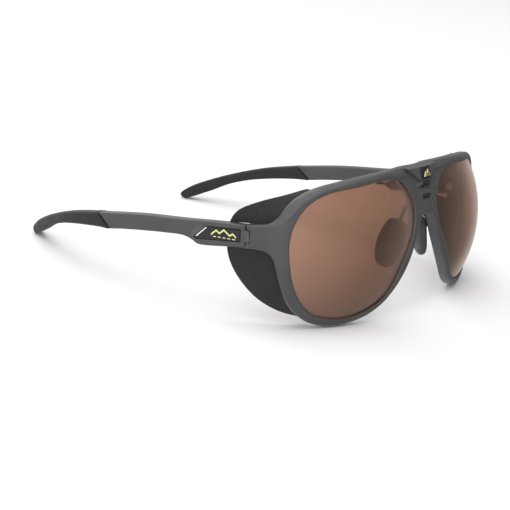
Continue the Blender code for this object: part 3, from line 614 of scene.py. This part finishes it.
def make_badge():
    outline = rounded_box(BADGE_WIDTH, BADGE_HEIGHT, BADGE_MIDDLE, 0.9, 8)
    return plate("badge_plate", outline, [], on_front,
                 [rounded_edge(BADGE_THICKNESS, 0.2, -PLATE_RISE - 0.2, 3)], 0.6)


def make_badge_peak():
    """A plain pair of mountain peaks standing on the badge."""
    low, half = BADGE_MIDDLE - PEAK_HEIGHT / 2, PEAK_WIDTH / 2
    outline = [Vector(p) for p in ((-half, low), (half, low), (0.22 * half, low + PEAK_HEIGHT),
                                   (-0.12 * half, low + 0.48 * PEAK_HEIGHT),
                                   (-0.45 * half, low + 0.74 * PEAK_HEIGHT))]
    foot = -PLATE_RISE - 0.2 - 0.05
    return plate("badge_emblem", dense(outline, 0.5), [], on_front,
                 [[(0.08, foot - 0.3), (0.0, foot - 0.2), (0.0, foot)]], 0.8)


# ---------------------------------------------------------------- temples

def temple_middle(y):
    """The x of the temple's middle at y, read from the smooth plan line."""
    line = TEMPLE_PLAN
    for a, b in zip(line, line[1:]):
        if y <= b.x:
            return a.y + (y - a.x) * (b.y - a.y) / (b.x - a.x)
    return line[-1].y


TEMPLE_PLAN = smooth(TEMPLE_MIDDLE, 1.0)


def on_temple(side):
    """bend() for a plate whose flat plane is (y, v) and whose front is the outer face."""
    def bend(y, v, depth):
        return Vector((side * (temple_middle(y) - depth), y, v))
    return bend


def make_temple(name, side):
    half = TEMPLE_THICKNESS / 2
    start = JOINT_Y + GAP
    top = smooth([(start, END_PIECE_TOP - 0.2), (45.0, 9.1)] + TEMPLE_TOP, 1.0)
    low = smooth(TEMPLE_LOW + TEMPLE_STEP, 1.0) + [Vector((start, 1.7))]

    def edge(point):
        ahead_of_tip = 0.758 * (point.y + 0.35) - 0.652 * (point.x - 96.3)
        full = ramp(33.2, 35.5, point.x) * ramp(0.4, 4.5, ahead_of_tip)
        return rounded_edge(2 * half, 0.28 + 0.62 * full, -half)

    temple = plate(name, dense(top + low, 1.0), [], on_temple(side), [edge], 1.6)
    inner, outer = sorted((side * (HINGE_X - 0.5), side * (OUTER_FACE - OVERRUN)))
    combine(temple, box("tongue", (inner, TONGUE_FRONT, TONGUE_LOW), (outer, 35.5, TONGUE_HIGH)), "UNION")
    knuckle = hinge_disc("knuckle", side, KNUCKLE_RADIUS, TONGUE_LOW + OVERRUN, TONGUE_HIGH - OVERRUN)
    combine(temple, knuckle, "UNION")
    for low_v, high_v in ((-3, TONGUE_LOW - 0.02), (TONGUE_HIGH + 0.02, HINGE_CUT_TOP)):
        combine(temple, hinge_disc("ear_room", side, KNUCKLE_RADIUS + GAP, low_v, high_v), "DIFFERENCE")
    combine(temple, hinge_disc("hole", side, SCREW_RADIUS + GAP, 0, HINGE_CUT_TOP), "DIFFERENCE")
    pocket = eased(INLAY_OUTLINE, 0.22, 6)(-GAP)
    depth = INLAY_THICKNESS + GAP - half
    combine(temple, plate("pocket", pocket, [], on_temple(side), [[(0, -half - 1), (0, depth)]], 4.0),
            "DIFFERENCE")
    combine(temple, core_tube("bore", side, GAP), "DIFFERENCE")
    return temple


def make_inlay(name, side):
    face = -TEMPLE_THICKNESS / 2
    return plate(name, eased(INLAY_OUTLINE, 0.22, 6), [], on_temple(side),
                 [rounded_edge(INLAY_THICKNESS, 0.15, face, 3)], 1.5)


def core_route(side):
    """The wire runs down the middle of the temple and of its soft tip."""
    return [Vector((side * temple_middle(p.x), p.x, p.y)) for p in smooth(CORE_ROUTE, 4.0)]


def core_tube(name, side, extra=0.0):
    return tube(name, core_route(side), CORE_RADIUS + extra, sides=12, extend=extra)


def make_tip(name, side):
    half = TEMPLE_THICKNESS / 2 + TIP_EXTRA - 0.3
    front_top = (TEMPLE_TOP[-1][0] + 0.55, TEMPLE_TOP[-1][1])
    front_low = (TEMPLE_LOW[0][0] + 0.55, TEMPLE_LOW[0][1] - 0.1)
    back = smooth([front_top] + TIP_TOP + TIP_END, 0.9)
    under = smooth(TIP_LOW + [front_low], 0.9)

    def edge(point):
        along = (point.x - front_low[0]) * 0.62 - (point.y - front_low[1]) * 0.78
        return rounded_edge(2 * half, 0.28 + 1.0 * ramp(0.2, 4.0, along), -half, 6)

    return plate(name, dense(back + under, 0.9), [], on_temple(side), [edge], 1.5)


# ---------------------------------------------------------------- side shields

def make_side_shield(name, side):
    """A soft cup lofted from the back of the rim to its free rear edge, slotted for the temple."""
    fronts = [on_front(side * s, v, FRONT_THICKNESS + GAP + 0.1) for (s, v), _ in SHIELD_RIBS]
    rears = [Vector((side * x, y, v)) for _, (x, y, v) in SHIELD_RIBS]
    fronts = smooth(fronts, 1.1)
    share = [n / (len(fronts) - 1) for n in range(len(fronts))]
    rears = even_points(smooth(rears, 0.5), share)
    fronts = even_points(fronts, share)
    rows = 16
    outside = []
    for one, two in zip(fronts, rears):
        rib = two - one
        bulge = Vector((side * SHIELD_BULGE * rib.length, 0, 0))
        outside.append([one + rib * (k / rows) + bulge * math.sin(math.pi * k / rows)
                        for k in range(rows + 1)])
    bm = bmesh.new()
    grids = []
    for depth in (0.0, SHIELD_THICKNESS):
        grid = []
        for i, rib in enumerate(outside):
            line = []
            for j, point in enumerate(rib):
                along = outside[min(i + 1, len(outside) - 1)][j] - outside[max(i - 1, 0)][j]
                across = rib[min(j + 1, rows)] - rib[max(j - 1, 0)]
                inward = along.cross(across).normalized() * -side
                line.append(bm.verts.new(point + inward * depth))
            grid.append(line)
        grids.append(grid)
    skin(bm, grids[0], grids[1])
    bmesh.ops.recalc_face_normals(bm, faces=bm.faces)
    rim = [e for e in bm.edges if e.calc_face_angle(0) > math.radians(50)]
    bmesh.ops.bevel(bm, geom=rim, offset=0.4, offset_type="OFFSET", segments=4, profile=0.5, affect="EDGES")
    shield = finish_mesh(name, bm)
    notch = [Vector(p) for p in NOTCH_OUTLINE]
    cut = plate("notch", notch, [], on_temple(side), [[(0, -NOTCH_DEPTH), (0, NOTCH_DEPTH)]], NOTCH_GRID)
    combine(shield, cut, "DIFFERENCE")
    return shield


def even_points(line, shares):
    """Points of a polyline at the given shares of its length."""
    lengths = [0.0]
    for a, b in zip(line, line[1:]):
        lengths.append(lengths[-1] + (b - a).length)
    spots = []
    for share in shares:
        goal = share * lengths[-1]
        n = next((k for k in range(1, len(line)) if lengths[k] >= goal - 1e-9), len(line) - 1)
        t = (goal - lengths[n - 1]) / (lengths[n] - lengths[n - 1])
        spots.append(line[n - 1].lerp(line[n], min(1.0, t)))
    return spots


def skin(bm, outer, inner):
    """Close two matching grids of points into one shell."""
    last_i, last_j = len(outer) - 1, len(outer[0]) - 1
    for grid in (outer, inner):
        for i in range(last_i):
            for j in range(last_j):
                bm.faces.new((grid[i][j], grid[i + 1][j], grid[i + 1][j + 1], grid[i][j + 1]))
    for i in range(last_i):
        for j in (0, last_j):
            bm.faces.new((outer[i][j], outer[i + 1][j], inner[i + 1][j], inner[i][j]))
    for j in range(last_j):
        for i in (0, last_i):
            bm.faces.new((outer[i][j], outer[i][j + 1], inner[i][j + 1], inner[i][j]))


# ---------------------------------------------------------------- nose pads

def arm_tube(name, side, extra=0.0):
    route = smooth([(side * x, y, v) for x, y, v in ARM_ROUTE], 0.5)
    return tube(name, route, ARM_RADIUS + extra, sides=20, extend=extra)


def make_nose_pad(name, side):
    face = (PAD_FACE - PAD_UP * PAD_FACE.dot(PAD_UP)).normalized()
    wide = PAD_UP.cross(face)

    def bend(a, b, depth):
        dome = PAD_DOME * (1 - (2 * b / PAD_LENGTH) ** 2 - (2 * a / PAD_WIDTH) ** 2)
        out = PAD_MIDDLE + wide * a + PAD_UP * b + face * (dome - depth)
        return Vector((side * out.x, out.y, out.z))

    steps = 72
    outline = []
    for k in range(steps):
        angle = 2 * math.pi * k / steps
        fullness = PAD_FULLNESS_TOP if angle < math.pi else PAD_FULLNESS_LOW
        bow = math.copysign(abs(math.cos(angle)) ** fullness, math.cos(angle))
        outline.append(Vector((bow * PAD_WIDTH / 2, math.sin(angle) * PAD_LENGTH / 2)))
    return plate(name, outline, [], bend, [rounded_edge(PAD_THICKNESS, 1.1, -PAD_THICKNESS / 2, 6)], 0.8)


def mark_outlines():
    """A plain ridge line and a row of short dashes, as outlines in the temple's (y, v) plane."""
    low = [(y, v - RIDGE_MARK_HEIGHT) for y, v in RIDGE_MARK[::-1]]
    shapes = [dense([Vector(p) for p in RIDGE_MARK + low], 0.6)]
    for n in range(DASHES):
        y = DASH_START - DASH_STEP * n
        corners = ((y, DASH_LOW), (y - DASH_LENGTH, DASH_LOW), (y - DASH_LENGTH, DASH_HIGH), (y, DASH_HIGH))
        shapes.append([Vector(p) for p in corners])
    return shapes


def thin_mark(name, side, outlines):
    """Flat printed shapes on the inlay, a few hundredths of a millimetre thick."""
    bend = on_temple(side)
    face = -TEMPLE_THICKNESS / 2
    bm = bmesh.new()
    for loop in outlines:
        edges = [(n, (n + 1) % len(loop)) for n in range(len(loop))]
        _, _, faces, sources, _, _ = delaunay_2d_cdt(loop, edges, [], 1, 1e-5)
        top = [bm.verts.new(bend(p.x, p.y, face - 0.05)) for p in loop]
        foot = [bm.verts.new(bend(p.x, p.y, face + 0.02)) for p in loop]
        for tri in faces:
            bm.faces.new([top[sources[n][0]] for n in tri])
            bm.faces.new([foot[sources[n][0]] for n in tri])
        for n in range(len(loop)):
            m = (n + 1) % len(loop)
            bm.faces.new((top[n], top[m], foot[m], foot[n]))
    return finish_mesh(name, bm)


# ---------------------------------------------------------------- materials

class Look:
    """A Principled material in object coordinates, with helpers for its node tree."""

    def __init__(self, name, **sockets):
        self.material = bpy.data.materials.new(name)
        self.material.use_nodes = True
        self.nodes = self.material.node_tree.nodes
        self.shader = self.nodes["Principled BSDF"]
        self.place = self.add("ShaderNodeTexCoord").outputs["Object"]
        for socket, value in sockets.items():
            self.shader.inputs[socket.replace("_", " ")].default_value = value

    def add(self, kind, **settings):
        node = self.nodes.new(kind)
        for key, value in settings.items():
            setattr(node, key, value)
        return node

    def join(self, source, target):
        self.material.node_tree.links.new(source, target)

    def noise(self, size_mm, detail=3.0, stretch=(1, 1, 1)):
        """Noise whose features are about size_mm across."""
        scale = self.add("ShaderNodeMapping")
        scale.inputs["Scale"].default_value = [k / (size_mm * MM) for k in stretch]
        self.join(self.place, scale.inputs["Vector"])
        made = self.add("ShaderNodeTexNoise")
        made.inputs["Scale"].default_value = 1.0
        made.inputs["Detail"].default_value = detail
        self.join(scale.outputs["Vector"], made.inputs["Vector"])
        return made.outputs["Fac"]

    def spread(self, value, low, high, start=0.3, end=0.7):
        """Map start..end of a value to low..high."""
        made = self.add("ShaderNodeMapRange")
        for name, number in (("From Min", start), ("From Max", end), ("To Min", low), ("To Max", high)):
            made.inputs[name].default_value = number
        self.join(value, made.inputs["Value"])
        return made.outputs["Result"]

    def blend(self, share, one, two):
        """Mix two colours, each a tuple or a socket."""
        made = self.add("ShaderNodeMix", data_type="RGBA")
        self.join(share, made.inputs["Factor"])
        for socket, colour in ((made.inputs[6], one), (made.inputs[7], two)):
            if isinstance(colour, tuple):
                socket.default_value = (*colour, 1.0)
            else:
                self.join(colour, socket)
        return made.outputs[2]

    def bump(self, *layers):
        """Stack bump layers of (height, distance in mm)."""
        last = None
        for height, distance in layers:
            made = self.add("ShaderNodeBump")
            made.inputs["Strength"].default_value = 1.0
            made.inputs["Distance"].default_value = distance * MM
            self.join(height, made.inputs["Height"])
            if last:
                self.join(last, made.inputs["Normal"])
            last = made.outputs["Normal"]
        self.join(last, self.shader.inputs["Normal"])

    def lighter_edges(self, colour, lighter, amount):
        """Lighten the sharp outward edges a little, unevenly."""
        point = self.add("ShaderNodeNewGeometry").outputs["Pointiness"]
        edge = self.spread(point, 0.0, amount, 0.52, 0.62)
        patchy = self.add("ShaderNodeMath", operation="MULTIPLY")
        self.join(edge, patchy.inputs[0])
        self.join(self.spread(self.noise(3.0), 0.4, 1.0), patchy.inputs[1])
        return self.blend(patchy.outputs[0], colour, lighter)


def moulded_plastic(name, dark, light, roughness, grain, edge):
    look = Look(name, IOR=1.5)
    cloud = look.blend(look.spread(look.noise(9.0, 4.0), 0.0, 1.0), dark, light)
    speck = look.blend(look.spread(look.noise(0.5, 2.0), 0.0, 0.35, 0.35, 0.75), cloud, light)
    look.join(look.lighter_edges(speck, edge, 0.5), look.shader.inputs["Base Color"])
    look.join(look.spread(look.noise(2.2, 5.0), roughness - 0.05, roughness + 0.07),
              look.shader.inputs["Roughness"])
    look.bump((look.noise(0.45, 2.0), grain), (look.noise(14.0, 1.0), grain * 2))
    return look.material


def soft_rubber(name, dark, light, roughness, grain):
    look = Look(name, IOR=1.45, Sheen_Weight=0.05, Sheen_Roughness=0.5)
    dust = look.blend(look.spread(look.noise(6.0, 6.0), 0.0, 1.0, 0.35, 0.75), dark, light)
    look.join(look.lighter_edges(dust, tuple(k * 1.9 for k in light), 0.35), look.shader.inputs["Base Color"])
    look.join(look.spread(look.noise(1.6, 4.0), roughness - 0.06, roughness + 0.06),
              look.shader.inputs["Roughness"])
    look.bump((look.noise(0.35, 3.0), grain))
    return look.material


def tinted_lens(name):
    """Copper-brown tint, paler towards the top and the outside; painted shade takes it nearly black
    towards the nose and the bottom. A warm sheen, a clear coat and faint wipe marks."""
    look = Look(name, IOR=1.45, Transmission_Weight=1.0, Coat_Weight=1.0, Coat_IOR=1.4, Coat_Roughness=0.04,
                Sheen_Weight=0.24, Sheen_Roughness=0.6, Sheen_Tint=(1.0, 0.55, 0.36, 1.0))
    axes = look.add("ShaderNodeSeparateXYZ")
    look.join(look.place, axes.inputs[0])
    out = look.add("ShaderNodeMath", operation="ABSOLUTE")
    look.join(axes.outputs["X"], out.inputs[0])
    along = look.add("ShaderNodeMath", operation="MULTIPLY_ADD")
    look.join(axes.outputs["Z"], along.inputs[0])
    along.inputs[1].default_value = 0.75
    look.join(out.outputs[0], along.inputs[2])
    # painted shade: this share takes the tint nearly black towards the nose and the bottom
    light = look.spread(along.outputs[0], 0.0, 1.0, 0.024, 0.084)
    cloudy = look.blend(look.spread(look.noise(26.0, 1.0), 0.0, 1.0), (0.31, 0.155, 0.095),
                        (0.34, 0.175, 0.108))
    look.join(look.blend(light, (0.035, 0.018, 0.012), cloudy), look.shader.inputs["Base Color"])
    look.join(look.spread(look.noise(7.0, 6.0, (1, 1, 3)), 0.02, 0.05), look.shader.inputs["Roughness"])
    look.bump((look.noise(20.0, 0.0), 0.006))
    return look.material


def brushed_metal(name, dark, light, roughness, stretch):
    look = Look(name, Metallic=1.0)
    lines = look.noise(0.25, 3.0, stretch)
    look.join(look.blend(look.spread(lines, 0.0, 1.0), dark, light), look.shader.inputs["Base Color"])
    look.join(look.spread(look.noise(1.2, 3.0), roughness - 0.06, roughness + 0.08),
              look.shader.inputs["Roughness"])
    look.bump((lines, 0.006))
    return look.material


def printed(name, dark, light):
    """Slightly uneven ink."""
    look = Look(name, IOR=1.45)
    look.join(look.blend(look.spread(look.noise(0.8, 3.0), 0.0, 1.0), dark, light),
              look.shader.inputs["Base Color"])
    look.join(look.spread(look.noise(0.5, 2.0), 0.4, 0.55), look.shader.inputs["Roughness"])
    look.bump((look.noise(0.2, 1.0), 0.004))
    return look.material


# ---------------------------------------------------------------- build

def place(piece, node, body, look):
    """Stand a fine piece in for its CAD node."""
    piece.data.materials.clear()
    piece.data.materials.append(look)
    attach(piece, body)
    if node:
        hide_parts(node)


def carry_over(node, look):
    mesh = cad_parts[node].data
    mesh.materials.clear()
    mesh.materials.append(look)


grey = moulded_plastic("moulded_grey", (0.051, 0.0520, 0.0525), (0.063, 0.0640, 0.0645), 0.42, 0.012,
                       (0.12, 0.122, 0.124))
shield_black = soft_rubber("shield_soft_black", (0.012, 0.012, 0.0123), (0.017, 0.017, 0.0173), 0.66, 0.008)
tip_black = soft_rubber("tip_rubber", (0.010, 0.010, 0.0103), (0.015, 0.015, 0.0153), 0.6, 0.01)
pad_black = soft_rubber("pad_rubber", (0.036, 0.037, 0.039), (0.05, 0.051, 0.053), 0.48, 0.006)
lens_look = tinted_lens("lens_copper_tint_and_painted_shade")
inlay_look = moulded_plastic("inlay_satin_black", (0.008, 0.008, 0.009), (0.014, 0.014, 0.015), 0.26, 0.003,
                             (0.04, 0.04, 0.04))
steel = brushed_metal("steel_wire", (0.42, 0.42, 0.43), (0.62, 0.62, 0.63), 0.28, (1, 0.12, 1))
dark_steel = brushed_metal("blackened_steel", (0.05, 0.05, 0.052), (0.09, 0.09, 0.092), 0.38, (1, 0.12, 1))
brass = brushed_metal("brass_satin", (0.66, 0.54, 0.27), (0.84, 0.74, 0.44), 0.34, (0.2, 1, 1))
yellow_ink = printed("pale_yellow_ink", (0.72, 0.74, 0.28), (0.82, 0.84, 0.38))
white_ink = printed("white_ink", (0.78, 0.79, 0.8), (0.88, 0.88, 0.88))

place(make_front_frame(), "front_frame", "front", grey)
place(make_badge(), "bridge_badge", "front", inlay_look)
place(make_badge_peak(), "badge_peak", "front", brass)
for word, side in SIDES.items():
    arm, rest = f"temple_arm_{word}", f"nose_rest_{word}"
    place(make_lens(f"tinted_lens_{word}", side), f"lens_{word}", "front", lens_look)
    place(make_side_shield(f"soft_shield_{word}", side), f"side_shield_{word}", "front",
          shield_black)
    place(make_temple(f"temple_bar_{word}", side), f"temple_{word}", arm, grey)
    place(make_tip(f"soft_tip_{word}", side), f"temple_tip_{word}", arm, tip_black)
    place(make_inlay(f"inlay_plate_{word}", side), f"temple_inlay_{word}", arm, inlay_look)
    place(thin_mark(f"inlay_mark_{word}", side, mark_outlines()), None, arm, yellow_ink)
    stripe = [Vector(p) for p in STRIPE_OUTLINE]
    place(thin_mark(f"inlay_stripe_{word}", side, [stripe]), None, arm, white_ink)
    place(arm_tube(f"pad_arm_{word}", side), f"nose_arm_{word}", rest, dark_steel)
    place(make_nose_pad(f"soft_pad_{word}", side), f"nose_pad_{word}", rest, pad_black)
    for node, look in (("hinge_screw", steel), ("temple_core", steel), ("shield_stud", steel),
                       ("hinge_nut", brass)):
        carry_over(f"{node}_{word}", look)


# ---------------------------------------------------------------- studio

def shade_world(tree):
    """A white surround that falls off towards the wearer's left front."""
    background = tree.nodes["Background"]
    background.inputs["Color"].default_value = (1, 1, 1, 1)
    toward = tree.nodes.new("ShaderNodeVectorMath")
    toward.operation = "DOT_PRODUCT"
    toward.inputs[1].default_value = (0.8, -0.6, 0.0)
    tree.links.new(tree.nodes.new("ShaderNodeTexCoord").outputs["Generated"], toward.inputs[0])
    fall = tree.nodes.new("ShaderNodeMapRange")
    for name, number in (("From Min", -0.1), ("From Max", 0.9), ("To Min", 0.9), ("To Max", 0.24)):
        fall.inputs[name].default_value = number
    tree.links.new(toward.outputs["Value"], fall.inputs["Value"])
    tree.links.new(fall.outputs["Result"], background.inputs["Strength"])


def studio():
    """Plain pale floor, white surround and large soft lamps."""
    scene = bpy.context.scene
    scene.view_settings.view_transform = "Standard"
    world = bpy.data.worlds.new("studio")
    scene.world = world
    world.use_nodes = True
    shade_world(world.node_tree)
    bm = bmesh.new()
    bmesh.ops.create_grid(bm, x_segments=8, y_segments=8, size=3.0)
    mesh = bpy.data.meshes.new("floor")
    bm.to_mesh(mesh)
    bm.free()
    floor = bpy.data.objects.new("floor", mesh)
    scene.collection.objects.link(floor)
    floor.location.z = -0.0002
    floor.visible_glossy = False                       # no horizon line in the lenses
    floor_look = Look("floor_white", Roughness=0.9)
    floor_look.shader.inputs["Base Color"].default_value = (0.86, 0.86, 0.86, 1)
    mesh.materials.append(floor_look.material)
    for name, spot, size, power in LAMPS:
        lamp = bpy.data.lights.new(name, "AREA")
        lamp.size = size
        lamp.energy = power
        holder = bpy.data.objects.new(name, lamp)
        holder.location = spot
        aim = LAMP_TARGET - Vector(spot)
        holder.rotation_euler = aim.to_track_quat("-Z", "Y").to_euler()
        scene.collection.objects.link(holder)


def camera():
    """The product view from the wearer's right front, slightly above."""
    yaw, pitch, roll = (math.radians(a) for a in CAMERA_TURN)
    ahead = Vector((math.sin(yaw) * math.cos(pitch), math.cos(yaw) * math.cos(pitch), math.sin(pitch)))
    right = Vector((math.cos(yaw), -math.sin(yaw), 0))
    up = right.cross(ahead)
    across = right * math.cos(roll) + up * math.sin(roll)
    over = up * math.cos(roll) - right * math.sin(roll)
    lens = bpy.data.cameras.new("view")
    lens.lens = CAMERA_LENS
    lens.sensor_width = CAMERA_SENSOR
    lens.clip_start = 0.01
    holder = bpy.data.objects.new("view", lens)
    turn = Matrix((across, over, -ahead)).transposed().to_4x4()
    holder.matrix_world = Matrix.Translation(CAMERA_PLACE) @ turn
    bpy.context.scene.collection.objects.link(holder)
    bpy.context.scene.camera = holder


studio()
camera()
